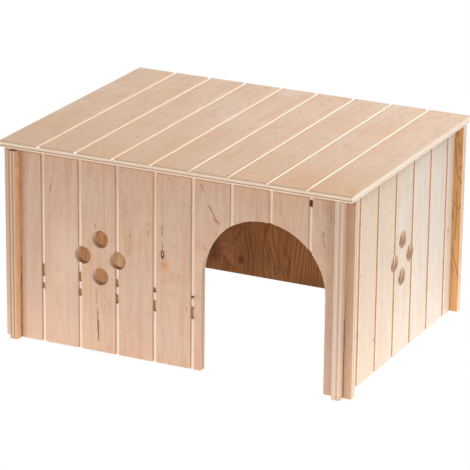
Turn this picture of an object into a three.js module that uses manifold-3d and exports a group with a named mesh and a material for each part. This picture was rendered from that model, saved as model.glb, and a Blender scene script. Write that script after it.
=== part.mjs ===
// Rabbit house: four grooved boards slotted together at the corners, and a loose flat roof.
// Millimetres. +X runs to the right along the width, -Y is the front with the doorway, +Z is up.
// The origin is on the floor, below the middle of the house.

import * as THREE from 'three';
import { mergeVertices } from 'three/addons/utils/BufferGeometryUtils.js';
import Module from 'manifold-3d';

const wasm = await Module();
wasm.setup();

// The whole house
const houseWidth = 430;
const houseDepth = 335;
const houseHeight = 235;

// The boards: thickness, and the grooves that part their outer face into planks
const wallBoard = 9.5;
const roofBoard = 8;
const grooveWidth = 4.5;
const grooveDepth = 2;

// Planks of the long boards (front, back and roof): how many grooves, how wide the two end
// planks are, and how far the whole pattern lies to one side
const longGrooves = 8;
const longEndPlank = 50.5;
const longPatternShift = -2;

// Planks of the short boards (left and right side)
const shortGrooves = 6;
const shortEndPlank = 43.75;
const shortPatternShift = 2;

// Corner joints: each wall runs on past the wall that it crosses, the slots are a little
// wider than the board in them, and their roots lie just clear of each other
const wallOverhang = 10;
const slotPlay = 0.5;
const seatGap = 0.3;

// The left wall stops short of the roof, and the other three walls carry it
const leftWallDrop = 3;

// Doorway in the front wall: a round arch on straight jambs
const doorRadius = 74.5;
const doorHeadBoard = 40.5;
const doorEndBoard = 33.5;

// Vents: four round holes set as a diamond
const ventRadius = 10.25;
const ventSpread = 22;
const ventHeight = 112;
const frontVentFromEnd = 121;

// Battens under the roof, which keep it between the walls
const battenWidth = 20;
const battenHeight = 12;
const battenPlay = 3;

// Countersunk screws that hold each batten, driven up from below
const screwHeadRadius = 3.5;
const screwHeadHeight = 2.2;
const screwShankRadius = 1.75;
const screwTipHeight = 2.5;
const screwBite = 5;
const screwSink = 0.4;
const recessLength = 4;
const recessWidth = 0.9;
const recessDepth = 1.3;

// How far a cut runs on past the face that it opens, and how round the curves are
const cutOverrun = 5;
const doorSegments = 48;
const ventSegments = 32;
const screwSegments = 16;

// Worked out from the sizes above
const roofUnderside = houseHeight - roofBoard;
const fullWallHeight = roofUnderside - seatGap;
const leftWallHeight = roofUnderside - leftWallDrop;
const slotWidth = wallBoard + 2 * slotPlay;
const slotRoot = roofUnderside / 2;
const longWallMiddle = houseDepth / 2 - wallOverhang - wallBoard / 2;
const sideWallMiddle = houseWidth / 2 - wallOverhang - wallBoard / 2;
const longPitch = (houseWidth - 2 * longEndPlank) / (longGrooves - 1);
const shortPitch = (houseDepth - 2 * shortEndPlank) / (shortGrooves - 1);
const doorMiddle = houseWidth / 2 - doorEndBoard - doorRadius;
const doorSpring = fullWallHeight - doorHeadBoard - doorRadius;
const battenLength = 2 * (sideWallMiddle - wallBoard / 2 - battenPlay);
const battenMiddle = longWallMiddle - wallBoard / 2 - battenPlay - battenWidth / 2;
const battenTop = roofUnderside - seatGap;
const battenUnderside = battenTop - battenHeight;
const screwLow = battenUnderside + screwSink;
const screwTip = roofUnderside + screwBite;

// Planks, counted from one end, whose middles the screws stand under
const screwPlanks = [1, Math.floor(longGrooves / 2), longGrooves - 1];

const plywood = new THREE.MeshStandardMaterial({ color: 0xd8b696, roughness: 0.72, metalness: 0, flatShading: true });
const batten = new THREE.MeshStandardMaterial({ color: 0xdcc09a, roughness: 0.78, metalness: 0, flatShading: true });
const steel = new THREE.MeshStandardMaterial({ color: 0xb8b6ae, roughness: 0.35, metalness: 0.9, flatShading: true });

// Turns a closed three.js geometry into a solid that can be joined and cut.
function solid(geometry) {
  geometry.deleteAttribute('normal');
  geometry.deleteAttribute('uv');
  const merged = mergeVertices(geometry);
  return new wasm.Manifold(new wasm.Mesh({
    numProp: 3,
    vertProperties: new Float32Array(merged.attributes.position.array),
    triVerts: new Uint32Array(merged.index.array),
  }));
}

// Gives a solid back as a named mesh.
function mesh(name, body, material) {
  const { vertProperties, triVerts } = body.getMesh();
  const geometry = new THREE.BufferGeometry();
  geometry.setAttribute('position', new THREE.BufferAttribute(new Float32Array(vertProperties), 3));
  geometry.setIndex(new THREE.BufferAttribute(new Uint32Array(triVerts), 1));
  geometry.computeVertexNormals();
  const piece = new THREE.Mesh(geometry, material);
  piece.name = name;
  return piece;
}

// A block between two opposite corners.
function block(low, high) {
  const size = high.map((end, axis) => end - low[axis]);
  const middle = high.map((end, axis) => (end + low[axis]) / 2);
  const geometry = new THREE.BoxGeometry(size[0], size[1], size[2]);
  geometry.translate(middle[0], middle[1], middle[2]);
  return solid(geometry);
}

// Places of a board's grooves along its length, with the pattern's middle at the given shift.
function grooveMiddles(count, pitch, shift) {
  return Array.from({ length: count }, (_, index) => shift + (index - (count - 1) / 2) * pitch);
}

const longGrooveMiddles = grooveMiddles(longGrooves, longPitch, longPatternShift);
const shortGrooveMiddles = grooveMiddles(shortGrooves, shortPitch, shortPatternShift);

// A wall board standing on the floor along X, middle at the origin, outer face towards -Y,
// with an upright groove at each given place.
function wallBlank(length, height, middles) {
  const outer = -wallBoard / 2;
  let board = block([-length / 2, outer, 0], [length / 2, wallBoard / 2, height]);
  for (const middle of middles) {
    board = board.subtract(block(
      [middle - grooveWidth / 2, outer - cutOverrun, -cutOverrun],
      [middle + grooveWidth / 2, outer + grooveDepth, height + cutOverrun],
    ));
  }
  return board;
}

// Cuts both corner slots of a wall between two heights.
function withSlots(board, slotMiddle, low, high) {
  let slotted = board;
  for (const side of [-1, 1]) {
    slotted = slotted.subtract(block(
      [side * slotMiddle - slotWidth / 2, -wallBoard, low],
      [side * slotMiddle + slotWidth / 2, wallBoard, high],
    ));
  }
  return slotted;
}

// A shape in the X-Z plane, pushed right through a wall board.
function throughCut(shape, segments) {
  const length = wallBoard + 2 * cutOverrun;
  const geometry = new THREE.ExtrudeGeometry(shape, { depth: length, bevelEnabled: false, curveSegments: segments });
  geometry.rotateX(Math.PI / 2);
  geometry.translate(0, length / 2, 0);
  return solid(geometry);
}

// The doorway's outline: jambs from below the floor line up to the spring of a half circle.
function doorway() {
  const shape = new THREE.Shape();
  shape.moveTo(doorMiddle - doorRadius, -cutOverrun);
  shape.lineTo(doorMiddle + doorRadius, -cutOverrun);
  shape.lineTo(doorMiddle + doorRadius, doorSpring);
  shape.absarc(doorMiddle, doorSpring, doorRadius, 0, Math.PI, false);
  shape.closePath();
  return throughCut(shape, doorSegments);
}

// Cuts the four vents of a diamond whose middle is at the given place along the wall.
function withVents(board, middle) {
  let vented = board;
  for (const [across, up] of [[-1, 0], [1, 0], [0, -1], [0, 1]]) {
    const shape = new THREE.Shape();
    shape.absarc(middle + across * ventSpread, ventHeight + up * ventSpread, ventRadius, 0, 2 * Math.PI, false);
    vented = vented.subtract(throughCut(shape, ventSegments));
  }
  return vented;
}

// Front and back walls come down over the side walls, so their slots open at the floor.
function longWall() {
  const blank = wallBlank(houseWidth, fullWallHeight, longGrooveMiddles);
  return withSlots(blank, sideWallMiddle, -cutOverrun, slotRoot);
}

function frontWall() {
  const ventMiddle = frontVentFromEnd - houseWidth / 2;
  const wall = withVents(longWall(), ventMiddle).subtract(doorway());
  const piece = mesh('front_wall', wall, plywood);
  piece.position.y = -longWallMiddle;
  return piece;
}

function backWall() {
  const piece = mesh('back_wall', longWall(), plywood);
  piece.position.y = longWallMiddle;
  piece.rotation.z = Math.PI;
  return piece;
}

// Side walls stand under the long walls, so their slots open at the top.
function sideWall(name, side, height) {
  const blank = wallBlank(houseDepth, height, shortGrooveMiddles);
  const slotted = withSlots(blank, longWallMiddle, slotRoot - seatGap, height + cutOverrun);
  const piece = mesh(name, withVents(slotted, 0), plywood);
  piece.position.x = side * sideWallMiddle;
  piece.rotation.z = side * Math.PI / 2;
  return piece;
}

// Places of the screws along a batten: the middles of the chosen planks.
const screwMiddles = screwPlanks.map((plank) => longPatternShift + (plank - longGrooves / 2) * longPitch);

// Half the section of a screw, standing head down: flush head, cone, shank and pointed tip.
// The margin widens it all round, for the hole that it stands in.
function screwBody(margin) {
  const head = screwHeadRadius + margin;
  const shank = screwShankRadius + margin;
  const profile = [
    new THREE.Vector2(0, screwLow - margin),
    new THREE.Vector2(head, screwLow - margin),
    new THREE.Vector2(shank, screwLow + screwHeadHeight),
    new THREE.Vector2(shank, screwTip - screwTipHeight),
    new THREE.Vector2(0, screwTip + margin),
  ];
  const geometry = new THREE.LatheGeometry(profile, screwSegments);
  geometry.rotateX(Math.PI / 2);
  return solid(geometry);
}

// The room for a screw: its widened body, and the sink below its head.
function screwRoom(x, y) {
  const head = screwHeadRadius + seatGap;
  const geometry = new THREE.CylinderGeometry(head, head, screwSink + cutOverrun, screwSegments);
  geometry.rotateX(Math.PI / 2);
  geometry.translate(0, 0, screwLow - (screwSink + cutOverrun) / 2);
  return screwBody(seatGap).add(solid(geometry)).translate([x, y, 0]);
}

// A cross recess is sunk in the head, which faces down.
function screw(name, x, y) {
  const arm = recessLength / 2;
  const slit = recessWidth / 2;
  const low = screwLow - cutOverrun;
  const high = screwLow + recessDepth;
  const along = block([-arm, -slit, low], [arm, slit, high]);
  const across = block([-slit, -arm, low], [slit, arm, high]);
  const piece = mesh(name, screwBody(0).subtract(along).subtract(across), steel);
  piece.position.set(x, y, 0);
  return piece;
}

function roofBatten(name, y) {
  let strip = block(
    [-battenLength / 2, y - battenWidth / 2, battenUnderside],
    [battenLength / 2, y + battenWidth / 2, battenTop],
  );
  for (const x of screwMiddles) {
    strip = strip.subtract(screwRoom(x, y));
  }
  return mesh(name, strip, batten);
}

// The roof board's grooves run from front to back, and the screws bite into its underside.
function roofPanel() {
  let board = block([-houseWidth / 2, -houseDepth / 2, roofUnderside], [houseWidth / 2, houseDepth / 2, houseHeight]);
  for (const middle of longGrooveMiddles) {
    board = board.subtract(block(
      [middle - grooveWidth / 2, -houseDepth / 2 - cutOverrun, houseHeight - grooveDepth],
      [middle + grooveWidth / 2, houseDepth / 2 + cutOverrun, houseHeight + cutOverrun],
    ));
  }
  for (const x of screwMiddles) {
    board = board.subtract(screwRoom(x, -battenMiddle)).subtract(screwRoom(x, battenMiddle));
  }
  return mesh('roof_panel', board, plywood);
}

function roof() {
  const group = new THREE.Group();
  group.add(roofPanel());
  for (const [end, y] of [['front', -battenMiddle], ['back', battenMiddle]]) {
    group.add(roofBatten(`${end}_batten`, y));
    screwMiddles.forEach((x, index) => group.add(screw(`${end}_batten_screw_${index + 1}`, x, y)));
  }
  return group;
}

const rabbitHouse = new THREE.Group();
rabbitHouse.add(frontWall());
rabbitHouse.add(backWall());
rabbitHouse.add(sideWall('left_wall', -1, leftWallHeight));
rabbitHouse.add(sideWall('right_wall', 1, fullWallHeight));
rabbitHouse.add(roof());

export default rabbitHouse;
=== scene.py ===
"""Looks of the rabbit house: grooved plywood walls slotted together, and a loose flat roof.

Metres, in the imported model's own frame: +X to the right, -Y the front with the doorway, +Z up,
origin on the floor below the middle of the house. Materials are laid out in millimetres.
"""

import math

import bpy
from mathutils import Matrix, Vector


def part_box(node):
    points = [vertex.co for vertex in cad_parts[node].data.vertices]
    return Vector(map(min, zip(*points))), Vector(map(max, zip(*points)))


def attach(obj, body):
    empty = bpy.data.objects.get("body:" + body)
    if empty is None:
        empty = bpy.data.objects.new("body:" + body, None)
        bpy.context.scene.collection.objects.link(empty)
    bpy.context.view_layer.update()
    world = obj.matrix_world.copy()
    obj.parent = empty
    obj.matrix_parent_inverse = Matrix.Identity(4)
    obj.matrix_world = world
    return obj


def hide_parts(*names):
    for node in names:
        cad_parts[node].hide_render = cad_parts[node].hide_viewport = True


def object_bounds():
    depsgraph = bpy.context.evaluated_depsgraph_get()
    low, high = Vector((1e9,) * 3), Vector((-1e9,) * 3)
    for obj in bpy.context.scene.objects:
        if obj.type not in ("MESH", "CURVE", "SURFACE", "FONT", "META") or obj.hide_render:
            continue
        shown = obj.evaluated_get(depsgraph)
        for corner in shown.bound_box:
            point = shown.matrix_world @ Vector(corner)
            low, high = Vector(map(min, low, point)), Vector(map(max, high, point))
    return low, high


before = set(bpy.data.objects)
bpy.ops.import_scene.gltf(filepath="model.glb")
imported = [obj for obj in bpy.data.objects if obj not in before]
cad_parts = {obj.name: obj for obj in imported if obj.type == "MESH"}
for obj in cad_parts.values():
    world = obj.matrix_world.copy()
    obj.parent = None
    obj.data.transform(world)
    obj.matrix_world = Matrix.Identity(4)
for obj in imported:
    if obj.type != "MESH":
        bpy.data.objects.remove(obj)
cad_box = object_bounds()

# FRONT WALL
# A sheet of 9.5 mm birch plywood with grooves milled down its face, an arched doorway and four
# round vents. Slots open at the floor let it down over the side walls, which hold it upright.
MM = 0.001
MM_PER_METRE = 1000
house_low, house_high = cad_box
front_low, front_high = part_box("front_wall")
right_low, right_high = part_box("right_wall")
roof_low, roof_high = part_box("roof_panel")
house_width = house_high.x - house_low.x
wall_board = front_high.y - front_low.y
wall_height = front_high.z
front_middle = (front_low.y + front_high.y) / 2
side_wall_middle = (right_low.x + right_high.x) / 2
groove_width = 4.5 * MM
groove_depth = 2 * MM
long_grooves = 8
long_end_plank = 50.5 * MM
long_pattern_shift = -2 * MM
slot_play = 0.5 * MM
slot_root = roof_low.z / 2
door_radius = 74.5 * MM
door_middle = house_high.x - 33.5 * MM - door_radius
door_spring = wall_height - 40.5 * MM - door_radius
vent_radius = 10.25 * MM
vent_spread = 22 * MM
vent_height = 112 * MM
front_vent_middle = house_low.x + 121 * MM
overrun = 5 * MM
eased_edge = 0.35 * MM
arch_steps = 192
vent_steps = 72
weld_distance = 0.01 * MM
# Below the first angle faces are one flat face, below the second they look round, and above the
# third their edge is sharp and gets eased.
flat_angle = math.radians(0.5)
round_angle = math.radians(20)
sharp_angle = math.radians(40)


def pick_nothing():
    """Leaves edit mode and deselects every object."""
    if bpy.context.object and bpy.context.object.mode != "OBJECT":
        bpy.ops.object.mode_set(mode="OBJECT")
    bpy.ops.object.select_all(action="DESELECT")


def pick(piece):
    """Makes one object the only one that operators act on."""
    pick_nothing()
    piece.select_set(True)
    bpy.context.view_layer.objects.active = piece


def settle(piece):
    """Puts a piece's place, turn and size into its mesh."""
    pick(piece)
    bpy.ops.object.transform_apply(location=True, rotation=True, scale=True)


def block(name, low, high):
    """A block between two opposite corners."""
    pick_nothing()
    low, high = Vector(low), Vector(high)
    bpy.ops.mesh.primitive_cube_add(size=1, location=(low + high) / 2, scale=high - low)
    made = bpy.context.object
    made.name = name
    settle(made)
    return made


def round_bar(steps, radius, x, z):
    """A bar along Y that goes right through a wall over the X axis."""
    pick_nothing()
    bpy.ops.mesh.primitive_cylinder_add(vertices=steps, radius=radius, depth=4 * wall_board,
                                        location=(x, 0, z), rotation=(math.pi / 2, 0, 0))
    made = bpy.context.object
    settle(made)
    return made


def edit(piece):
    """Goes into edit mode with a piece's whole mesh picked."""
    pick(piece)
    bpy.ops.object.mode_set(mode="EDIT")
    bpy.ops.mesh.select_all(action="SELECT")


def edit_faces(piece, wanted):
    """Goes into edit mode with only the faces picked that the test wants."""
    pick(piece)
    bpy.ops.object.mode_set(mode="EDIT")
    bpy.context.tool_settings.mesh_select_mode = (False, False, True)
    bpy.ops.mesh.select_all(action="DESELECT")
    bpy.ops.object.mode_set(mode="OBJECT")
    for face in piece.data.polygons:
        face.select = wanted(face)
    bpy.ops.object.mode_set(mode="EDIT")


def saw(point, normal, **options):
    """Saws the mesh in edit mode along a plane."""
    bpy.ops.mesh.select_all(action="SELECT")
    bpy.ops.mesh.bisect(plane_co=point, plane_no=normal, **options)


def draw_up(height):
    """Draws the picked faces up by a height, with walls between."""
    bpy.ops.mesh.extrude_region_move(TRANSFORM_OT_translate={"value": (0, 0, height)})


def face_outwards():
    """Turns all faces of the mesh in edit mode outwards, and leaves edit mode."""
    bpy.ops.mesh.select_all(action="SELECT")
    bpy.ops.mesh.normals_make_consistent(inside=False)
    bpy.ops.object.mode_set(mode="OBJECT")


def cut_away(piece, cutter):
    """Cuts the shape of one object out of another, and throws the cutter away."""
    pick(piece)
    cut = piece.modifiers.new("cut", "BOOLEAN")
    cut.operation = "DIFFERENCE"
    cut.solver = "EXACT"
    cut.object = cutter
    bpy.ops.object.modifier_apply(modifier=cut.name)
    bpy.data.objects.remove(cutter)


def groove_places(count, length, end_plank, shift):
    """Middles of a board's grooves along its length."""
    pitch = (length - 2 * end_plank) / (count - 1)
    return [shift + (index - (count - 1) / 2) * pitch for index in range(count)]


def grooved_board(name, length, thickness, height, places):
    """A board standing along X over the origin, outer face towards -Y: its section is drawn on the
    floor as a strip, the grooves are nipped out of it, and it is drawn up to its height."""
    pick_nothing()
    bpy.ops.mesh.primitive_plane_add(size=1)
    board = bpy.context.object
    board.name = name
    board.scale = (length, thickness, 1)
    settle(board)
    groove_floor = groove_depth - thickness / 2
    edit(board)
    for place in places:
        for side in (-1, 1):
            saw((place + side * groove_width / 2, 0, 0), (1, 0, 0))
    saw((0, groove_floor, 0), (0, 1, 0))
    edit_faces(board, lambda face: face.center.y < groove_floor and
               min(abs(face.center.x - place) for place in places) < groove_width / 2)
    bpy.ops.mesh.delete(type="FACE")
    bpy.ops.mesh.select_all(action="SELECT")
    bpy.ops.mesh.dissolve_limited(angle_limit=flat_angle)
    bpy.ops.mesh.select_all(action="SELECT")
    draw_up(height)
    face_outwards()
    return board


def cut_slots(board, middle, low, high):
    """Cuts both corner slots of a wall between two heights."""
    half = wall_board / 2 + slot_play
    for x in (-middle, middle):
        cut_away(board, block("slot", (x - half, -wall_board, low), (x + half, wall_board, high)))


def cut_vents(board, middle):
    """Drills the four vents of a diamond."""
    for across, up in ((-1, 0), (1, 0), (0, -1), (0, 1)):
        x = middle + across * vent_spread
        cut_away(board, round_bar(vent_steps, vent_radius, x, vent_height + up * vent_spread))


def place_board(board, middle, turn):
    """Turns a board about the upright axis and sets it on its place."""
    board.rotation_euler.z = turn
    board.location = middle
    settle(board)


def ease_edges(piece, width):
    """Sands the sharp edges, and shades only what is meant to look round as round."""
    edit(piece)
    bpy.ops.mesh.remove_doubles(threshold=weld_distance)
    bpy.ops.mesh.select_all(action="SELECT")
    bpy.ops.mesh.dissolve_limited(angle_limit=flat_angle)
    bpy.ops.object.mode_set(mode="OBJECT")
    eased = piece.modifiers.new("eased", "BEVEL")
    eased.width = width
    eased.segments = 2
    eased.limit_method = "ANGLE"
    eased.angle_limit = sharp_angle
    eased.use_clamp_overlap = False
    bpy.ops.object.modifier_apply(modifier=eased.name)
    bpy.ops.object.shade_smooth_by_angle(angle=round_angle)


class Level:
    """A number that varies over a surface. What is done with it adds nodes to its finish."""

    def __init__(self, finish, socket):
        self.finish = finish
        self.socket = socket

    def __add__(self, other):
        return self.finish.math("ADD", self, other)

    def __sub__(self, other):
        return self.finish.math("SUBTRACT", self, other)

    def __rsub__(self, other):
        return self.finish.math("SUBTRACT", other, self)

    def __mul__(self, other):
        return self.finish.math("MULTIPLY", self, other)

    def __abs__(self):
        return self.finish.math("ABSOLUTE", self)

    def above(self, limit):
        return self.finish.math("GREATER_THAN", self, limit)

    def below(self, limit):
        return self.finish.math("LESS_THAN", self, limit)

    def waves(self, length):
        """From -1 to 1 and back each time that the number grows by the length."""
        return self.finish.math("SINE", self * (2 * math.pi / length))

    def rise(self, low, high):
        """0 below low, 1 above high, and smooth between them."""
        made = self.finish.put("ShaderNodeMapRange", interpolation_type="SMOOTHSTEP")
        for socket, value in zip(made.inputs, (self, low, high)):
            self.finish.feed(socket, value)
        return Level(self.finish, made.outputs[0])

    def fall(self, low, high):
        """1 below low, 0 above high, and smooth between them."""
        return 1.0 - self.rise(low, high)

    def within(self, low, high, soft):
        """1 between two values, 0 outside them."""
        return self.rise(low - soft, low + soft) * self.fall(high - soft, high + soft)


class Finish:
    """One material's node tree, with a short call for each kind of node that it needs."""

    def __init__(self, name):
        self.material = bpy.data.materials.new(name)
        self.material.use_nodes = True
        self.tree = self.material.node_tree
        self.shader = self.tree.nodes["Principled BSDF"]
        self.texture = self.put("ShaderNodeTexCoord")

    def put(self, kind, **settings):
        made = self.tree.nodes.new(kind)
        for name, value in settings.items():
            setattr(made, name, value)
        return made

    def feed(self, socket, value):
        """Links a socket to a node, or sets it to a plain value."""
        if isinstance(value, Level):
            value = value.socket
        if isinstance(value, bpy.types.NodeSocket):
            self.tree.links.new(value, socket)
        else:
            socket.default_value = value

    def shade(self, name, value):
        self.feed(self.shader.inputs[name], value)

    def math(self, operation, first, second=0.0, clamp=False):
        made = self.put("ShaderNodeMath", operation=operation, use_clamp=clamp)
        self.feed(made.inputs[0], first)
        self.feed(made.inputs[1], second)
        return Level(self, made.outputs[0])

    def vector(self, operation, first, second=(0, 0, 0)):
        made = self.put("ShaderNodeVectorMath", operation=operation)
        self.feed(made.inputs[0], first)
        self.feed(made.inputs[1], second)
        if operation in ("DOT_PRODUCT", "LENGTH"):
            return Level(self, made.outputs["Value"])
        return made.outputs["Vector"]

    def millimetres(self):
        """Every point's place in millimetres."""
        return self.vector("MULTIPLY", self.texture.outputs["Object"], [MM_PER_METRE] * 3)

    def split(self, place):
        """The three numbers of a place."""
        parts = self.put("ShaderNodeSeparateXYZ")
        self.feed(parts.inputs[0], place)
        return [Level(self, part) for part in parts.outputs]

    def facing(self, axis):
        """1 where the surface looks straight along an axis, 0 where it looks across it."""
        return abs(self.vector("DOT_PRODUCT", self.texture.outputs["Normal"], axis))

    def mix(self, share, first, second):
        """Blends two colours, each a node's output or (red, green, blue) as on a screen."""
        made = self.put("ShaderNodeMix", data_type="RGBA")
        self.feed(made.inputs["Factor"], share)
        for socket, value in zip([s for s in made.inputs if s.type == "RGBA"], (first, second)):
            self.feed(socket, value if isinstance(value, bpy.types.NodeSocket) else linear(value))
        return made.outputs[2]

    def lay(self, colour, tone, layers):
        """Lays tones over a colour, each where a pattern is high. A layer is (pattern, where it
        starts, where it is full, strength, name of the tone)."""
        for pattern, low, high, strength, name in layers:
            colour = self.mix(pattern.rise(low, high) * strength, colour, tone[name])
        return colour

    def noise(self, place, size, detail=3.0, roughness=0.5, distortion=0.0):
        """Noise whose patches have the given size (three numbers, in the place's own unit)."""
        made = self.put("ShaderNodeTexNoise")
        self.feed(made.inputs["Vector"], self.vector("DIVIDE", place, size))
        for name, value in (("Scale", 1), ("Detail", detail), ("Roughness", roughness),
                            ("Distortion", distortion)):
            made.inputs[name].default_value = value
        return Level(self, made.outputs["Fac"])

    def ramp(self, value, stops):
        """A grey that changes with a number, through stops of (number, lightness)."""
        made = self.put("ShaderNodeValToRGB")
        self.feed(made.inputs[0], value)
        band = made.color_ramp
        while len(band.elements) < len(stops):
            band.elements.new(1)
        for element, (place, light) in zip(band.elements, stops):
            element.position = place
            element.color = (light, light, light, 1)
        return made.outputs["Color"]

    def relief(self, height, strength, depth):
        """Gives the surface a fine relief."""
        bump = self.put("ShaderNodeBump")
        bump.inputs["Strength"].default_value = strength
        bump.inputs["Distance"].default_value = depth
        self.feed(bump.inputs["Height"], height)
        self.shade("Normal", bump.outputs["Normal"])


def linear(colour):
    """Red, green and blue as on a screen, from 0 to 255, as the values that a shader takes."""
    return [((c / 255 + 0.055) / 1.055) ** 2.4 if c > 10 else c / 255 / 12.92 for c in colour] + [1]


# How deep a face's own finish goes, and how far from a groove's middle its sides and their eased
# edges reach. Millimetres.
face_skin = 0.8
groove_floor_at = MM_PER_METRE * groove_depth
groove_reach = MM_PER_METRE * groove_width / 2 + 0.45


class Plywood(Finish):
    """Bare plywood. Its pattern is laid out in the board's own millimetres: across the grain, in
    from the outer face, and along the grain. Plies are (depth, lightness of their cut edge)."""

    def __init__(self, name, outer_face, axes, board, plies, tone, inner_tone, edge_tone,
                 grooves_at, coarse=1.0, figure=1.0, lean=0.0, knots=()):
        super().__init__(name)
        laid = self.put("ShaderNodeMapping", vector_type="POINT")
        self.feed(laid.inputs["Vector"], self.texture.outputs["Object"])
        laid.inputs["Scale"].default_value = [MM_PER_METRE] * 3
        laid.inputs["Rotation"].default_value = Matrix(axes).to_euler("XYZ")
        laid.inputs["Location"].default_value = (0, -MM_PER_METRE * Vector(axes[1]).dot(outer_face), 0)
        self.place = laid.outputs["Vector"]
        ragged_edge = 2.6
        shake = (self.grain((3, 3, 7), detail=2) - 0.5) * ragged_edge
        self.ragged = self.vector("ADD", self.place, shake)
        self.across, self.depth, self.along = self.split(self.place)
        facing = [self.facing(axis) for axis in axes]
        self.on_face = facing[1].rise(0.9, 0.98)
        self.off_face = 1.0 - self.on_face
        self.on_side = facing[0].rise(0.5, 0.9)
        self.arris = facing[1].within(0.2, 0.93, 0.06)
        thickness = MM_PER_METRE * board
        self.outside = self.depth.below(face_skin)
        self.inside = self.depth.above(thickness - face_skin)
        self.find_grooves([MM_PER_METRE * place for place in grooves_at])
        self.colour = self.veneer(tone, inner_tone, coarse, figure, lean, knots)
        self.lay_plies(thickness, plies, edge_tone)

    def grain(self, size, **settings):
        """Noise that follows the board."""
        return self.noise(self.place, size, **settings)

    def find_grooves(self, places):
        """How far a point is from the middle of the nearest groove, and whether there is one."""
        first, last = places[0], places[-1]
        pitch = (last - first) / (len(places) - 1)
        folded = self.math("FLOORED_MODULO", self.across + (pitch / 2 - first), pitch)
        self.from_groove = folded - pitch / 2
        self.grooved = self.across.within(first - pitch / 2, last + pitch / 2, 0.5)

    def beside_groove(self, low=-groove_reach, high=groove_reach):
        """A mask over a strip along every groove, between two distances from its middle."""
        return self.from_groove.within(low, high, 0.2) * self.grooved

    def veneer(self, tone, inner_tone, coarse, figure, lean, knots):
        """The outer and inner face: fibres, pores, a soft figure that bends round the knots, and
        pale or pink clouds. The outer face gets warmer across the board by the lean."""
        fibre = self.grain((1.1 * coarse, 1.1, 36), detail=5, roughness=0.62)
        band = self.grain((6 * coarse, 6, 240), detail=3, roughness=0.55)
        cloud = self.grain((40 * coarse, 40, 110), detail=2)
        blush = self.grain((17 * coarse, 23, 58), detail=3)
        pore = self.grain((0.7 * coarse, 0.7, 5), detail=2, roughness=0.4)
        fleck = self.grain((2.4 * coarse, 2.4, 9), detail=2)
        mottle = self.grain((7 * coarse, 7, 15), detail=3, roughness=0.6, distortion=0.6)
        contour = self.grain((30 * coarse, 30, 170), detail=1.5, distortion=0.5)
        for across, along in knots:
            contour = contour + self.oval(across, along, 36, 58, 1.0) * 0.3
        wave = self.math("SINE", contour * 60.0)
        ring = self.math("SINE", contour * 105.0)
        warmth = cloud + self.across * lean
        outer = self.mix(warmth.rise(0.3, 0.7), tone["cool"], tone["warm"])
        outer = self.lay(outer, tone, (
            (blush, 0.45, 0.7, 0.6, "blush"),
            (band, 0.45, 0.75, 0.38 * figure, "late"),
            (fibre, 0.45, 0.8, 0.42 * figure, "late"),
            (wave, 0.0, 1.0, 0.2 * figure, "late"),
            (fleck, 0.6, 0.8, 0.35, "late"),
            (mottle, 0.5, 0.75, 0.3 / figure, "late"),
            (pore, 0.6, 0.72, 0.36, "pore")))
        inner = self.mix(ring.rise(-0.6, 0.9), inner_tone["early"], inner_tone["late"])
        inner = self.lay(inner, inner_tone, (
            (cloud, 0.35, 0.7, 0.5, "late"),
            (fibre, 0.4, 0.7, 0.35, "pore")))
        self.fibre = fibre
        self.pore = pore
        return self.mix(self.inside, outer, inner)

    def ply_lines(self, thickness, plies):
        """How light the cut edge is at each depth: a step for each ply, and thin glue lines."""
        glue = 0.22
        glue_share = 0.012
        stops = []
        for depth, light in plies:
            place = depth / thickness
            if stops:
                stops.append((place - glue_share, stops[-1][1]))
                stops.append((place, glue))
            stops.append((place + glue_share, light))
        wander = (self.grain((26, 26, 26), detail=2) - 0.5) * 0.5
        return self.ramp(self.math("DIVIDE", self.depth + wander, thickness), stops)

    def lay_plies(self, thickness, plies, tone):
        """The cut edges show the plies as light and dark lines, the eased arrises pale fibres, and a
        groove's floor the ply below the face, whose fibres run the other way."""
        long_fibre = self.grain((0.5, 0.5, 16), detail=4, roughness=0.6)
        cross_fibre = self.grain((16, 0.5, 0.5), detail=4, roughness=0.6)
        end_pore = self.grain((0.7, 0.7, 0.9), detail=2)
        edge = self.mix(self.ply_lines(thickness, plies), tone["dark"], tone["light"])
        edge = self.lay(edge, tone, (
            (long_fibre, 0.5, 0.7, 0.32, "fibre"),
            (end_pore, 0.52, 0.66, 0.32, "pore")))
        self.colour = self.mix(self.on_face, edge, self.colour)
        self.stain(self.arris * long_fibre.rise(0.35, 0.6), 0.5, tone["light"])
        floor = self.mix(cross_fibre.rise(0.45, 0.75) * 0.25, tone["groove"], tone["light"])
        # The core ply in a gap: dark on its left and light on its right, painted shadow of the gap's
        # left wall.
        core = self.mix(self.from_groove.rise(-1.8, 0.8), tone["core"][0], tone["core"][1])
        core = self.mix(end_pore.rise(0.45, 0.7) * 0.4, core, tone["core"][0])
        floor = self.mix(self.depth.rise(groove_floor_at + 0.6, groove_floor_at + 1.2), floor, core)
        milled = self.depth.within(groove_floor_at - 0.8, thickness - 1.5, 0.2) * self.on_face
        self.stain(milled, 1.0, floor)
        # The groove walls take the rim tone: the cut wall's own brown, made darker as painted shade on
        # the walls and paler as painted light on the roof.
        rim = self.on_side * self.depth.below(groove_floor_at + 0.2)
        self.stain(rim * self.beside_groove(), 0.75, tone["rim"])
        # Painted shadow of the left groove wall on the floor beside it.
        corner = milled * self.beside_groove(-groove_reach, -1.5)
        self.stain(corner * self.depth.below(groove_floor_at + 0.4), 0.4, tone["rim"])

    def square_on(self, place, across, along):
        """The way to each point from one on the face, without the depth."""
        return self.vector("MULTIPLY", self.vector("SUBTRACT", place, (across, 0, along)), (1, 0, 1))

    def oval(self, across, along, wide, tall, soft, inner=False):
        """A mask over an oval on the outer or inner face. Its soft edge is a share of its size."""
        apart = self.square_on(self.ragged, across, along)
        reach = self.vector("LENGTH", self.vector("DIVIDE", apart, (wide, 1, tall)))
        return reach.fall(1 - soft, 1.0) * (self.inside if inner else self.outside)

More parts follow.
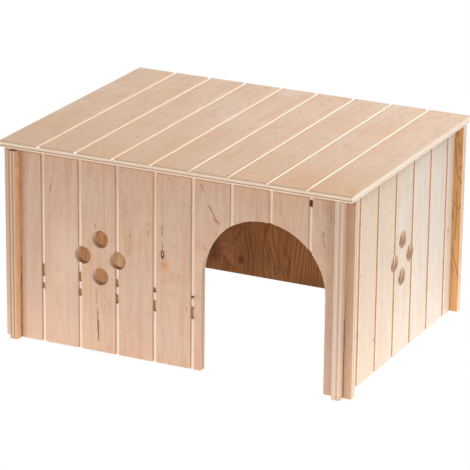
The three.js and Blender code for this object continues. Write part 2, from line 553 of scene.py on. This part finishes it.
    def stroke(self, start, end, wide, inner=False):
        """A mask along a straight line on the outer or inner face, fading to its sides."""
        run = Vector((end[0] - start[0], 0, end[1] - start[1]))
        apart = self.square_on(self.ragged, *start)
        share = self.vector("DOT_PRODUCT", apart, run / run.length_squared)
        held = self.put("ShaderNodeVectorMath", operation="SCALE")
        held.inputs[0].default_value = run
        self.feed(held.inputs["Scale"], self.math("MULTIPLY", share, 1.0, clamp=True))
        reach = self.vector("LENGTH", self.vector("SUBTRACT", apart, held.outputs[0]))
        return reach.fall(0.0, wide) * (self.inside if inner else self.outside)

    def stain(self, mask, strength, colour):
        self.colour = self.mix(mask * strength, self.colour, colour)

    def spots(self, table, inner=False):
        """Stains ovals: across, along, half width, half height, softness, strength, colour."""
        for across, along, wide, tall, soft, strength, colour in table:
            self.stain(self.oval(across, along, wide, tall, soft, inner), strength, colour)

    def trail(self, points, wide, strength, colour, inner=False):
        """Stains a line that runs from point to point, each (across, along)."""
        for start, end in zip(points, points[1:]):
            self.stain(self.stroke(start, end, wide, inner), strength, colour)

    def done(self):
        """Feeds the shader: colour, a dull sheen that the fibres break up, and a fine relief."""
        self.shade("Base Color", self.colour)
        self.shade("Roughness", self.fibre * 0.2 + 0.5)
        self.shade("Specular IOR Level", 0.5)
        self.relief(self.fibre - self.pore * 0.6, strength=0.2, depth=0.12 * MM)
        return self.material


def set_finish(piece, material):
    """Gives a piece one material."""
    piece.data.materials.clear()
    piece.data.materials.append(material)


WALL_PLIES = ((0, 0.55), (1.6, 0.85), (3.8, 0.30), (5.8, 1.0), (7.9, 0.60))
FACE_TONE = {
    "cool": (205, 175, 153), "warm": (209, 172, 142), "blush": (205, 160, 136),
    "late": (183, 143, 114), "pore": (140, 104, 78),
}
INNER_TONE = {
    "early": (226, 178, 126), "late": (198, 146, 96), "pore": (168, 118, 72),
}
# The rim tone of the groove walls is the cut wall's own brown, darkened with painted shade; the core
# pair is a gap floor's painted shadow and its lit part.
EDGE_TONE = {
    "dark": (150, 113, 88), "light": (230, 203, 178), "fibre": (176, 135, 106),
    "pore": (126, 86, 61), "groove": (255, 228, 204), "rim": (158, 120, 94),
    "core": ((206, 152, 102), (255, 226, 178)),
}

long_grooves_at = groove_places(long_grooves, house_width, long_end_plank, long_pattern_shift)


def long_wall(name):
    """The board of the front and of the back wall, with its slots."""
    board = grooved_board(name, house_width, wall_board, wall_height, long_grooves_at)
    cut_slots(board, side_wall_middle, -overrun, slot_root)
    return board


def doorway_cutter():
    """A round bar through the wall, its lower half sawn off and the cut drawn down past the floor."""
    bar = round_bar(arch_steps, door_radius, door_middle, door_spring)
    edit(bar)
    saw((0, 0, door_spring), (0, 0, 1), use_fill=True, clear_inner=True)
    edit_faces(bar, lambda face: face.normal.z < -0.9 and abs(face.center.z - door_spring) < MM)
    draw_up(-door_spring - overrun)
    face_outwards()
    return bar


# Two strips of the ply below the face are missing, and show as gaps in the first five grooves.
# Each is (heights of its top at the first and the fifth groove, heights of its foot there).
core_gaps = (
    ((92.6 * MM, 86 * MM), (78.5 * MM, 83.8 * MM)),
    ((70 * MM, 73.2 * MM), (63.4 * MM, 59.5 * MM)))
gap_grooves = 5
gap_depth = 1.7 * MM
# A loose bit of the inner plies has fallen out of the last groove, near the roof.
hole_foot = 212 * MM
hole_head = 219.5 * MM
hole_depth = 6 * MM


def deepen(wall, groove, foot, head, depth):
    """Cuts deeper into a groove between two heights."""
    groove_floor = groove_depth - wall_board / 2
    low = (groove - groove_width / 2, groove_floor - overrun, foot)
    high = (groove + groove_width / 2, groove_floor + depth, head)
    cut_away(wall, block("pit", low, high))


front_wall = long_wall("front_board")
cut_away(front_wall, doorway_cutter())
cut_vents(front_wall, front_vent_middle)
for index in range(gap_grooves):
    share = index / (gap_grooves - 1)
    for (first_head, last_head), (first_foot, last_foot) in core_gaps:
        foot = first_foot + share * (last_foot - first_foot)
        head = first_head + share * (last_head - first_head)
        deepen(front_wall, long_grooves_at[index], foot, head, gap_depth)
deepen(front_wall, long_grooves_at[-1], hole_foot, hole_head, hole_depth)
place_board(front_wall, (0, front_middle, 0), 0)
ease_edges(front_wall, eased_edge)
front_finish = Plywood(
    "front_plywood", (0, front_low.y, 0), ((1, 0, 0), (0, 1, 0), (0, 0, 1)), wall_board,
    WALL_PLIES, FACE_TONE, INNER_TONE, EDGE_TONE, long_grooves_at, knots=((-12, 122),))


def front_shades(finish):
    """A browner right end beyond the slots, painted shade of the right tab, and a paler left end,
    yellower painted shade beside the left slot, painted shade and a painted shadow line under the
    roof with dark streaks there, darker groove floors at the upper left as painted shade, and torn
    brown fibres in the pits of the grooves, darkened further with painted shade."""
    face = finish.outside
    # Painted shade of the right tab: the front wall's right end, beyond the slot, made browner.
    finish.stain(finish.across.rise(198, 206) * face, 0.5, (188, 144, 112))
    finish.stain(finish.across.below(-200) * face, 0.5, (232, 198, 172))
    # Yellower painted shade on the front wall beside the left tab, fading away from its slot.
    shade_beside_tab = finish.across.fall(-197, -187) * finish.across.above(-200)
    finish.stain(shade_beside_tab * face, 0.3, (190, 136, 86))
    # Painted shade under the roof, and a painted shadow line just below it.
    finish.stain(finish.along.rise(196, 224) * face, 0.2, (166, 122, 92))
    finish.stain(finish.along.rise(220.5, 223.5) * face, 0.5, (140, 102, 78))
    # Painted shade: the groove floors darker at the upper left, towards the roof.
    dull = finish.along.rise(150, 222) * finish.across.fall(-60, 40) * finish.on_face
    dull = dull * finish.depth.within(groove_floor_at - 0.8, groove_floor_at + 0.4, 0.2)
    finish.stain(dull, 0.4, (206, 160, 128))
    streak = finish.grain((1.3, 1.3, 46), detail=3).rise(0.55, 0.68)
    finish.stain(streak * finish.along.rise(130, 214) * face, 0.28, (140, 104, 80))
    # The walls of the pits: torn brown fibres, darkened further with painted shade.
    torn = finish.depth.within(groove_floor_at + 0.15, 7, 0.1) * finish.beside_groove() * finish.off_face
    finish.stain(torn * finish.along.within(5, 222, 1), 0.4, (134, 90, 56))


front_shades(front_finish)
# Pale clouds, a warm halo below a pin knot, the knot with its streaks, and a pink bruise.
front_finish.spots((
    (-138, 104, 30, 80, 1.0, 0.45, (226, 196, 172)),
    (-160, 24, 90, 60, 1.0, 0.2, (230, 204, 186)),
    (-13, 116.5, 11, 9, 1.0, 0.65, (200, 138, 82)),
    (-26, 116, 18, 13, 1.0, 0.3, (200, 150, 122)),
    (-3, 106, 18, 12, 1.0, 0.35, (200, 146, 112)),
    (-16.3, 157, 1.3, 10, 0.9, 0.7, (118, 74, 36)),
    (-15.6, 140, 1.0, 7, 0.9, 0.6, (116, 72, 32)),
    (-15.7, 118, 1.0, 5, 0.9, 0.6, (116, 72, 32)),
    (-15.6, 129, 2.8, 6.6, 0.4, 1.0, (80, 42, 6)),
    (-15.8, 129.5, 1.2, 2.8, 0.5, 0.9, (196, 160, 118)),
    (50, 179, 5, 3, 0.9, 0.5, (198, 116, 104))))
# A scratch across the bruise, and a split near the floor.
for start, end, wide, strength, colour in (
        ((40.9, 195.5), (52.6, 174.4), 1.1, 0.9, (116, 58, 32)),
        ((46.5, 181), (55, 176.5), 1.6, 0.6, (190, 90, 78)),
        ((-98.7, 73), (-98.5, 57), 0.8, 0.6, (126, 80, 42)),
        ((-97.4, 52), (-96.4, 13), 1.1, 0.85, (110, 62, 24)),
        ((-96.6, 38), (-95.9, 19), 1.1, 0.9, (82, 42, 12))):
    front_finish.trail((start, end), wide, strength, colour)
# Small dark flecks: both ends, and how strong they are.
fleck_width = 1
for start, end, strength in (
        ((30.7, 218), (34.4, 210.6), 0.7), ((-155.4, 190.5), (-156.6, 182), 0.7),
        ((177.7, 186), (177.8, 180.5), 0.9), ((177.9, 177), (179.7, 169.5), 0.7),
        ((36.4, 146), (37, 143), 0.7), ((14.4, 72), (14.6, 68), 0.6),
        ((-56.6, 146), (-56.4, 142), 0.6), ((-33.6, 153), (-33.4, 149), 0.6),
        ((4.2, 108), (4.6, 104), 0.5), ((-33, 163), (-32.9, 160), 0.6),
        ((-99.6, 151), (-99.2, 146.5), 0.6), ((-9, 218), (-5.5, 217.5), 0.5)):
    front_finish.trail((start, end), fleck_width, strength, (106, 58, 26))
set_finish(front_wall, front_finish.done())
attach(front_wall, "walls")
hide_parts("front_wall")

# BACK WALL
# The same plywood board without doorway or vents, let down over the side walls in the same way,
# with its grooved face outwards. Its inner face shows through the doorway.
# The back wall's inner face is darker and browner than the other inner faces: partly its own wood,
# partly painted shade for the dim inside of the house.
BACK_INNER_TONE = {
    "early": (177, 125, 66), "late": (148, 98, 42), "pore": (122, 76, 30),
}
back_low, back_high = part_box("back_wall")
back_wall = long_wall("back_board")
place_board(back_wall, (0, (back_low.y + back_high.y) / 2, 0), math.pi)
ease_edges(back_wall, eased_edge)
back_finish = Plywood(
    "back_plywood", (0, back_high.y, 0), ((-1, 0, 0), (0, -1, 0), (0, 0, 1)), wall_board,
    WALL_PLIES, FACE_TONE, BACK_INNER_TONE, EDGE_TONE, long_grooves_at)


def inner_figure(finish):
    """Thin dark lines on the inner face: nested bowls that run up into long upright lines, bend
    round two knots and fade here and there."""
    crown = 18.5
    right_slope = 0.62
    left_slope = -1.2
    roundness = 10
    from_crown = finish.across - crown
    spread = finish.math("MAXIMUM", from_crown * right_slope, from_crown * left_slope)
    bowl = finish.math("SQRT", spread * spread + roundness)
    level = bowl - finish.along * (spread.fall(3, 24) * 0.3)
    for size, height in (((60, 60, 90), 11.0), ((16, 16, 30), 3.4)):
        level = level + finish.grain(size, detail=2) * height
    for across, along, wide, tall, height in ((67, 19, 20, 26, 8.0), (94, 10, 24, 16, 7.0)):
        level = level + finish.oval(across, along, wide, tall, 1.0, inner=True) * height
    thin = level.waves(1.6).rise(0.2, 1.0)
    broad = level.waves(5.4).rise(0.55, 1.0)
    lines = (thin * 0.14 + broad * 0.6) * finish.inside
    for share in (finish.grain((16, 16, 40), detail=2).rise(0.36, 0.62),
                  1.0 - spread.rise(12, 30) * 0.4,
                  1.0 - finish.across.rise(52, 70) * 0.75):
        lines = lines * share
    finish.stain(lines, 1.0, (102, 46, 4))


def ear_marks(finish):
    """Lighter wood at the right end of the inner face and on the ear that shows behind the right wall:
    there the inner face goes without the painted shade of the inside. A knot near the roof and
    curved dark lines."""
    finish.stain(finish.across.fall(-200, -170) * finish.inside, 0.9, (202, 152, 94))
    finish.spots((
        (-211, 62, 2.8, 64, 0.6, 0.4, (226, 170, 118)),
        (-206, 60, 2.6, 60, 0.8, 0.4, (190, 146, 84)),
        (-210, 200, 8, 28, 1.0, 0.4, (176, 128, 76))), inner=True)
    for points in (
            ((-205.5, 211), (-207, 188), (-208.4, 171), (-211, 165), (-214.6, 158)),
            ((-209, 207), (-211.2, 201), (-213.8, 194)),
            ((-205.6, 136), (-208, 131), (-211.8, 127), (-214.8, 132)),
            ((-205.6, 125), (-205.4, 106)),
            ((-205.4, 82), (-208, 69), (-211.5, 56), (-214.5, 44)),
            ((-206, 61), (-208.5, 48)),
            ((-210.5, 174), (-214.3, 179.5)),
            ((-209, 148), (-210, 120), (-209, 88))):
        finish.trail(points, 1.5, 0.6, (136, 78, 22), inner=True)
    finish.spots(((-208, 217, 3.4, 7, 0.9, 0.7, (124, 74, 36)),), inner=True)


inner_figure(back_finish)
# Broad dark lines round the knots, and long ones beside them.
for points in (
        ((66, 63), (68, 52), (73, 44), (80.5, 39), (92, 39), (104, 34)),
        ((110, 14), (102, 19), (95, 21), (89, 18), (82.5, 11), (72, 4)),
        ((103, 30), (99, 25.5), (104, 17)),
        ((56.5, 68), (55.5, 45), (50.5, 26), (51.5, 1)),
        ((62, 66), (61, 46), (56.5, 27), (57, 2)),
        ((36.5, 70), (33.5, 49), (24, 28), (19.5, 7)),
        ((8, 44), (1.5, 26), (3.5, 3))):
    back_finish.trail(points, 2.0, 0.5, (104, 48, 6), inner=True)
ear_marks(back_finish)
# Darker towards the left end and along the foot, dark and pale clouds, and the rim and the heart
# of a knot.
back_finish.spots((
    (150, 60, 84, 120, 0.8, 0.4, (108, 58, 14)),
    (84, 34, 22, 24, 1.0, 0.4, (176, 130, 90)),
    (101, 16, 8, 9, 1.0, 0.5, (96, 42, 4)),
    (24, 12, 14, 18, 1.0, 0.35, (186, 140, 98)),
    (104, 32, 14, 30, 1.0, 0.6, (84, 46, 12)),
    (20, 14, 8, 8, 1.0, 0.4, (86, 48, 22)),
    (-30, 2, 60, 14, 1.0, 0.25, (100, 58, 30)),
    (67, 18.6, 6.2, 7.6, 0.6, 0.8, (118, 56, 10)),
    (66.4, 18.8, 2.6, 3.8, 0.8, 0.8, (72, 30, 4))), inner=True)
set_finish(back_wall, back_finish.done())
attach(back_wall, "walls")
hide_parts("back_wall")

# SIDE WALLS
# Two plywood boards with slots open at the top and vents in a diamond, which stand under the long
# walls. The left one stops a little below the roof.
short_grooves = 6
short_end_plank = 43.75 * MM
short_pattern_shift = 2 * MM
side_seat = 0.3 * MM
side_length = right_high.y - right_low.y
short_grooves_at = groove_places(short_grooves, side_length, short_end_plank, short_pattern_shift)
# The right wall's face is paler and greyer than the other faces: painted light from the strong lamp on
# that side.
RIGHT_FACE_LIT_TONE = {
    "cool": (206, 194, 182), "warm": (204, 184, 162), "blush": (204, 186, 172),
    "late": (190, 164, 140), "pore": (158, 124, 98),
}
# Their edges show the same plies, light and dark in turn, but not in the same order.
LEFT_PLIES = ((0, 0.35), (2.3, 0.85), (4.9, 0.1), (6.3, 1.0), (7.9, 0.5))
RIGHT_PLIES = ((0, 0.85), (2.3, 0.2), (4.6, 0.5), (5.6, 1.0), (6.8, 0.6), (8.6, 1.0))
LEFT_EDGE_TONE = {
    **EDGE_TONE,
    "dark": (148, 108, 80), "light": (220, 186, 154),
}
RIGHT_EDGE_TONE = {
    **EDGE_TONE,
    "dark": (176, 148, 130), "light": (224, 198, 174), "fibre": (180, 151, 132),
    "pore": (141, 114, 99), "groove": (226, 206, 182), "rim": (184, 150, 120),
}


def vent_plies(finish):
    """The plies in the walls of the vents: a bright one and a dark one behind it."""
    diamond = MM_PER_METRE * (vent_spread + vent_radius) + 1
    away = finish.vector("LENGTH", finish.square_on(finish.place, 0, MM_PER_METRE * vent_height))
    bored = away.below(diamond) * finish.off_face
    for low, high, strength, colour in (
            (0.4, 3.2, 0.4, (174, 142, 118)), (3.8, 5.0, 0.8, (255, 226, 192)),
            (5.3, 6.1, 0.8, (122, 94, 70)), (6.3, 9.3, 0.6, (236, 200, 168))):
        finish.stain(bored * finish.depth.within(low, high, 0.3), strength, colour)


def left_marks(finish):
    """A painted pool of light on the inner face, a shadow line in the front slot, and paler wood on
    the tab before it.
    """
    # Painted pool of light on the inner face, low down towards the back.
    finish.spots(((-78, 17, 22, 22, 1.0, 0.9, (250, 212, 164)),), inner=True)
    finish.trail(((158.3, -4), (158.1, 76)), 1.3, 0.9, (96, 60, 38), inner=True)
    finish.stain(finish.across.above(160) * finish.inside, 0.6, (212, 165, 121))


def right_marks(finish):
    """Painted shade on the tab before the front wall and a shadow line in the slot beside it, chipped
    grooves with a painted highlight along one lip, warmer wood at the back, painted shade under the
    roof, and a few small knots."""
    face = finish.outside
    # Painted shade on the tab before the front wall.
    finish.stain(finish.across.fall(-159, -157) * face, 0.35, (216, 152, 106))
    chipped = finish.grain((2, 2, 7), detail=2).rise(0.55, 0.68)
    finish.stain(chipped * finish.beside_groove() * finish.off_face, 0.4, (136, 100, 72))
    # Painted highlight along one lip of each groove.
    finish.stain(finish.beside_groove(2.4, 3.8) * face, 0.5, (250, 224, 196))
    finish.stain(finish.across.rise(128, 152) * face, 0.6, (232, 196, 164))
    finish.trail(((-158.6, -4), (-158.2, 92)), 1.5, 0.95, (84, 48, 26))
    # Painted shade under the roof along the top of the wall.
    finish.stain(finish.along.rise(221, 226) * face, 0.4, (168, 142, 122))
    for across, along, wide, tall, strength in (
            (-88.5, 191, 1.2, 3, 0.6), (105, 206, 1.4, 3, 0.5), (-117, 128, 1.6, 4, 0.7),
            (-115, 117, 1.0, 4, 0.5), (136, 103, 2.4, 4, 0.75), (132, 34, 1.0, 4, 0.6),
            (133, 22, 1.0, 4, 0.6), (132.4, 10, 1.0, 4, 0.6), (-77, 40, 3.0, 3, 0.6),
            (24.5, 71, 3.0, 3, 0.5), (77, 136, 3.0, 5, 0.5), (-119, 60, 1.2, 6, 0.4)):
        finish.stain(finish.oval(across, along, wide, tall, 0.8), strength, (126, 92, 66))


for side, name, plies, tone, edge_tone, marks in (
        (-1, "left", LEFT_PLIES, FACE_TONE, LEFT_EDGE_TONE, left_marks),
        (1, "right", RIGHT_PLIES, RIGHT_FACE_LIT_TONE, RIGHT_EDGE_TONE, right_marks)):
    side_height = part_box(name + "_wall")[1].z
    board = grooved_board(name + "_board", side_length, wall_board, side_height, short_grooves_at)
    cut_slots(board, -front_middle, slot_root - side_seat, side_height + overrun)
    cut_vents(board, 0)
    place_board(board, (side * side_wall_middle, 0, 0), side * math.pi / 2)
    ease_edges(board, eased_edge)
    finish = Plywood(
        name + "_plywood", (side * right_high.x, 0, 0), ((0, side, 0), (-side, 0, 0), (0, 0, 1)),
        wall_board, plies, tone, INNER_TONE, edge_tone, short_grooves_at, figure=0.75, lean=-0.003)
    vent_plies(finish)
    marks(finish)
    set_finish(board, finish.done())
    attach(board, "walls")
    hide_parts(name + "_wall")

# ROOF
# One loose board of 8 mm plywood, its grooves running from front to back. It just lies on the
# walls. Holes from below take the points of the screws that hold its battens.
roof_board = roof_high.z - roof_low.z
ROOF_PLIES = ((0, 0.45), (2.1, 1.0), (4.3, 0.8), (5.4, 0.0), (6.3, 1.0), (7.3, 1.0))
ROOF_TONE = {
    "cool": (206, 182, 163), "warm": (204, 174, 147), "blush": (201, 167, 141),
    "late": (180, 146, 118), "pore": (132, 98, 72),
}
# The roof's groove walls and floors are paler than on the walls: painted light from the lamp on the
# right.
ROOF_EDGE_TONE = {
    **EDGE_TONE,
    "light": (240, 216, 192), "groove": (255, 241, 226), "rim": (226, 194, 166),
}
screw_low, screw_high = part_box("front_batten_screw_1")
batten_middle = (screw_low.y + screw_high.y) / 2
screws_at = []
for number in (1, 2, 3):
    low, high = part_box(f"front_batten_screw_{number}")
    screws_at.append((low.x + high.x) / 2)
screw_play = 0.3 * MM
shank_radius = 1.75 * MM
bore_radius = shank_radius + screw_play
tip_height = 2.5 * MM
pilot_point = 0.3 * MM
pilot_steps = 24


def turned(name, x, y, profile, steps):
    """A round upright piece: a disc drawn up ring by ring through its heights and radii."""
    height, radius = profile[0]
    pick_nothing()
    bpy.ops.mesh.primitive_circle_add(vertices=steps, radius=radius, fill_type="NGON",
                                      location=(x, y, height))
    made = bpy.context.object
    made.name = name
    settle(made)
    edit(made)
    for next_height, next_radius in profile[1:]:
        draw_up(next_height - height)
        share = next_radius / radius
        bpy.ops.transform.resize(value=(share, share, 1), center_override=(x, y, next_height))
        height, radius = next_height, next_radius
    face_outwards()
    return made


roof = grooved_board("roof_board", house_width, roof_board, roof_high.y - roof_low.y, long_grooves_at)
roof.rotation_euler.x = -math.pi / 2
roof.location = (0, roof_low.y, (roof_low.z + roof_high.z) / 2)
settle(roof)
pilot_profile = (
    (roof_low.z - overrun, bore_radius),
    (screw_high.z - tip_height, bore_radius),
    (screw_high.z + screw_play, pilot_point))
for x in screws_at:
    for y in (batten_middle, -batten_middle):
        cut_away(roof, turned("pilot", x, y, pilot_profile, pilot_steps))
ease_edges(roof, eased_edge)
roof_finish = Plywood(
    "roof_plywood", (0, 0, roof_high.z), ((1, 0, 0), (0, 0, -1), (0, 1, 0)), roof_board,
    ROOF_PLIES, ROOF_TONE, INNER_TONE, ROOF_EDGE_TONE, long_grooves_at, coarse=1.2, figure=0.6,
    knots=((-86, 13),))


def roof_shades(finish):
    """The wood yellower and, as painted shade, darker towards the front, painted light on the right
    end, painted shade in the mouths of the grooves right of the middle where they come out at the
    front edge, and a painted shadow along the right lip of each groove."""
    face = finish.outside
    # Yellower wood, and painted shade, towards the front.
    finish.stain(finish.along.fall(-160, 30) * face, 0.35, (196, 156, 120))
    # Painted light on the right end of the roof.
    finish.stain(finish.on_side * finish.across.above(213), 0.45, (224, 214, 202))
    # Painted shade in the mouths of the grooves at the front edge.
    mouth = finish.along.fall(-167, -150) * finish.across.rise(-120, 40) * finish.beside_groove()
    mouth = mouth * finish.depth.within(0.4, groove_floor_at + 0.6, 0.2)
    finish.stain(mouth, 0.6, (196, 158, 128))
    # Painted shadow along the right lip of each groove.
    finish.stain(finish.beside_groove(2.5, 3.5) * face, 0.4, (140, 106, 80))


roof_shades(roof_finish)
# Two warm clouds and a pin knot at the right front corner, and a few small knots.
roof_finish.spots((
    (150, -150, 90, 70, 1.0, 0.4, (194, 148, 108)),
    (207, -152, 8, 16, 1.0, 0.5, (196, 140, 92)),
    (213, -164, 1.6, 2.6, 0.7, 0.75, (132, 86, 52)),
    (65, -162.5, 1.3, 2.4, 0.7, 0.7, (114, 76, 52)),
    (208, 2, 1.2, 2.4, 0.8, 0.5, (132, 90, 62)),
    (-88, 15.6, 1.2, 2.4, 0.8, 0.6, (120, 80, 56)),
    (-65.5, 29.8, 1.2, 2.4, 0.8, 0.4, (132, 90, 62)),
    (211, -17, 1.2, 2.4, 0.8, 0.5, (132, 90, 62)),
    (-17.5, -71, 1.2, 5, 0.8, 0.5, (120, 84, 60)),
    (-8, -11, 2, 4, 1.0, 0.4, (156, 110, 96))))
set_finish(roof, roof_finish.done())
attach(roof, "roof")
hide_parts("roof_panel")

# BATTENS
# Two planed softwood strips under the roof that drop between the walls and keep it in place.
# Their long edges are broken, their ends sawn square, and three holes are countersunk from below.
head_radius = (screw_high.x - screw_low.x) / 2
head_height = 2.2 * MM
broken_edge = 0.4 * MM
bore_steps = 48
BATTEN_TONE = {
    "early": (220, 196, 156), "late": (200, 160, 112), "fibre": (182, 142, 98),
    "pore": (156, 112, 74), "worn": (236, 214, 178),
}
# Where the heart of the tree runs, how wide its rings are (millimetres), and how they taper.
heart_y = 160
heart_z = 262
ring_width = 2.6
ring_taper = 0.02


def softwood(name):
    """Planed softwood sawn from well outside the heart: its rings show as long lines on the
    faces and as arcs on the ends."""
    finish = Finish(name)
    place = finish.millimetres()
    wander = finish.noise(place, (160, 14, 14), detail=2) * 5.0
    from_heart = finish.vector("SUBTRACT", place, (0, heart_y, heart_z))
    from_heart = finish.vector("MULTIPLY", from_heart, (ring_taper, 1, 1))
    ring = (finish.vector("LENGTH", from_heart) + wander).waves(ring_width)
    fibre = finish.noise(place, (42, 0.6, 0.6), detail=5, roughness=0.62)
    cloud = finish.noise(place, (90, 16, 16), detail=2)
    colour = finish.mix(ring.rise(0.1, 1.0), BATTEN_TONE["early"], BATTEN_TONE["late"])
    colour = finish.lay(colour, BATTEN_TONE, (
        (fibre, 0.48, 0.75, 0.4, "fibre"),
        (cloud, 0.45, 0.7, 0.3, "late"),
        (finish.facing((1, 0, 0)), 0.5, 0.9, 0.45, "pore")))
    worn = finish.facing((0, 0, 1)).within(0.2, 0.93, 0.06) * fibre.rise(0.35, 0.65)
    finish.shade("Base Color", finish.mix(worn * 0.6, colour, BATTEN_TONE["worn"]))
    finish.shade("Roughness", fibre * 0.25 + 0.48)
    finish.relief(fibre, strength=0.25, depth=0.1 * MM)
    return finish.material


batten_wood = softwood("batten_softwood")
for side, name in ((1, "front"), (-1, "back")):
    low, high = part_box(name + "_batten")
    strip = block(name + "_strip", low, high)
    bore_profile = (
        (low.z - overrun, head_radius + screw_play),
        (screw_low.z - screw_play, head_radius + screw_play),
        (screw_low.z + head_height, bore_radius),
        (high.z + overrun, bore_radius))
    for x in screws_at:
        cut_away(strip, turned("bore", x, side * batten_middle, bore_profile, bore_steps))
    ease_edges(strip, broken_edge)
    set_finish(strip, batten_wood)
    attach(strip, "roof")
    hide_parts(name + "_batten")

# SCREWS
# Six zinc-plated wood screws with a countersunk head and a cross recess, driven up through the
# battens into the roof board. One is made, and copied to the other places.
screw_steps = 32
recess_length = 4 * MM
recess_width = 0.9 * MM
recess_depth = 1.3 * MM
lip_inset = 0.1 * MM
lip_height = 0.12 * MM
plain_neck = 1.2 * MM
point_height = 0.2 * MM
point_radius = 0.25 * MM
point_end = 0.08 * MM
thread_pitch = 1.4 * MM
thread_core = 1.3 * MM
# Where in each turn the thread starts to swell, and where it is full.
root_share = 0.45
crest_share = 0.8
eased_steel = 0.04 * MM


def screw_profile():
    """Heights and radii from the head's face to the point, with the thread as close ridges."""
    neck = screw_low.z + head_height
    height = neck + plain_neck
    outline = [
        (screw_low.z, head_radius - lip_inset),
        (screw_low.z + lip_height, head_radius),
        (neck, shank_radius),
        (height, shank_radius)]
    while height + thread_pitch < screw_high.z - tip_height:
        outline.append((height + root_share * thread_pitch, thread_core))
        outline.append((height + crest_share * thread_pitch, shank_radius))
        outline.append((height + thread_pitch, shank_radius))
        height += thread_pitch
    outline.append((screw_high.z - tip_height, thread_core))
    outline.append((screw_high.z - point_height, point_radius))
    outline.append((screw_high.z, point_end))
    return outline


def zinc_steel():
    """Bright zinc: slightly cloudy, fine turning lines, and darker deeper in the recess."""
    finish = Finish("zinc_steel")
    place = finish.millimetres()
    cloud = finish.noise(place, (1.6, 1.6, 1.6), detail=4)
    scratch = finish.noise(place, (0.25, 0.25, 1.2), detail=3)
    head_face = MM_PER_METRE * screw_low.z
    sunk = finish.split(place)[2].rise(head_face + 0.1, head_face + 0.9)
    colour = finish.mix(cloud, (214, 214, 208), (186, 186, 182))
    finish.shade("Base Color", finish.mix(sunk * 0.35, colour, (120, 112, 100)))
    finish.shade("Metallic", 1.0)
    finish.shade("Roughness", scratch * 0.25 + 0.24)
    return finish.material


first_x, first_y = screws_at[0], batten_middle
first_screw = turned("screw", first_x, first_y, screw_profile(), screw_steps)
for wide, deep in ((recess_length, recess_width), (recess_width, recess_length)):
    low = (first_x - wide / 2, first_y - deep / 2, screw_low.z - overrun)
    high = (first_x + wide / 2, first_y + deep / 2, screw_low.z + recess_depth)
    cut_away(first_screw, block("recess", low, high))
ease_edges(first_screw, eased_steel)
set_finish(first_screw, zinc_steel())
for y, name in ((batten_middle, "front"), (-batten_middle, "back")):
    for index, x in enumerate(screws_at):
        screw = first_screw
        if (x, y) != (first_x, first_y):
            pick(first_screw)
            bpy.ops.object.duplicate(linked=False)
            screw = bpy.context.object
            screw.location = (x - first_x, y - first_y, 0)
            settle(screw)
        screw.name = f"{name}_screw_{index + 1}"
        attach(screw, "roof")
        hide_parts(f"{name}_batten_screw_{index + 1}")

# STUDIO
# A plain white floor that shines softly close to the house and less in its shade, soft lamps, and
# the camera where the photograph was taken from.
floor_size = 12
glow_full = 0.3
glow_end = 0.42
glow_strength = 0.945
shaded_share = 0.64


def white_floor():
    """White that glows softly close to the house, less in its shade. The camera itself sees it as
    plain white."""
    finish = Finish("floor_white")
    finish.shade("Base Color", (0.85, 0.85, 0.85, 1))
    finish.shade("Roughness", 0.9)
    finish.shade("Emission Color", (1, 1, 1, 1))
    place = finish.texture.outputs["Object"]
    glow = finish.vector("LENGTH", place).fall(glow_full, glow_end) * glow_strength
    x, y = finish.split(place)[:2]
    beside_house = abs(x).above(house_high.x - wall_board)
    before_house = abs(y).above(-front_middle)
    open_floor = finish.math("MAXIMUM", beside_house, before_house)
    finish.shade("Emission Strength", glow * (open_floor * (1 - shaded_share) + shaded_share))
    seen_by_camera = finish.put("ShaderNodeLightPath").outputs["Is Camera Ray"]
    white = finish.put("ShaderNodeEmission").outputs[0]
    blend = finish.put("ShaderNodeMixShader")
    for socket, source in zip(blend.inputs, (seen_by_camera, finish.shader.outputs[0], white)):
        finish.feed(socket, source)
    finish.feed(finish.tree.nodes["Material Output"].inputs["Surface"], blend.outputs[0])
    return finish.material


pick_nothing()
bpy.ops.mesh.primitive_plane_add(size=floor_size)
floor = bpy.context.object
floor.name = "floor"
set_finish(floor, white_floor())

world = bpy.data.worlds.new("studio_white")
world.use_nodes = True
sky = world.node_tree.nodes["Background"]
sky.inputs["Color"].default_value = (1, 1, 1, 1)
sky_ray = world.node_tree.nodes.new("ShaderNodeLightPath")
world.node_tree.links.new(sky_ray.outputs["Is Camera Ray"], sky.inputs["Strength"])
bpy.context.scene.world = world

lamp_aim = Vector((0, 0, 0.1))


def softbox(name, place, size, power):
    """A square area light that points at the house."""
    lamp = bpy.data.lights.new(name + "_softbox", "AREA")
    lamp.shape = "SQUARE"
    lamp.size = size
    lamp.energy = power
    holder = bpy.data.objects.new(lamp.name, lamp)
    bpy.context.scene.collection.objects.link(holder)
    holder.location = place
    holder.rotation_euler = (lamp_aim - Vector(place)).to_track_quat("-Z", "Y").to_euler()


softbox("right", (1.0, 0.9, 1.6), 0.9, 25.6)
softbox("side", (1.52, -0.95, 0.19), 0.6, 13.5)
softbox("left", (-0.82, -1.3, 0.44), 0.8, 6.75)
softbox("front", (0.45, -2.54, 0.36), 1.1, 5.4)
softbox("top", (0, 0, 2.4), 1.4, 32.4)
softbox("back", (0.4, 2.6, 1.2), 2.2, 32.4)
softbox("far", (-2.3, 0.5, 0.25), 0.5, 12)

camera_azimuth = math.radians(25.834)
camera_elevation = math.radians(19.107)
camera_roll = math.radians(0.633)
camera_place = (1.400142, -2.898758, 1.221273)
focal_pixels = 2969.125
picture_side = 470
sensor_width = 36
far_clip = 50
camera_data = bpy.data.cameras.new("camera")
camera_data.sensor_width = sensor_width
camera_data.lens = focal_pixels / picture_side * sensor_width
camera_data.clip_end = far_clip
camera = bpy.data.objects.new("camera", camera_data)
bpy.context.scene.collection.objects.link(camera)
camera.matrix_world = (
    Matrix.Translation(camera_place) @ Matrix.Rotation(camera_azimuth, 4, "Z")
    @ Matrix.Rotation(math.pi / 2 - camera_elevation, 4, "X") @ Matrix.Rotation(camera_roll, 4, "Z"))
bpy.context.scene.camera = camera
bpy.context.scene.view_settings.view_transform = "Standard"
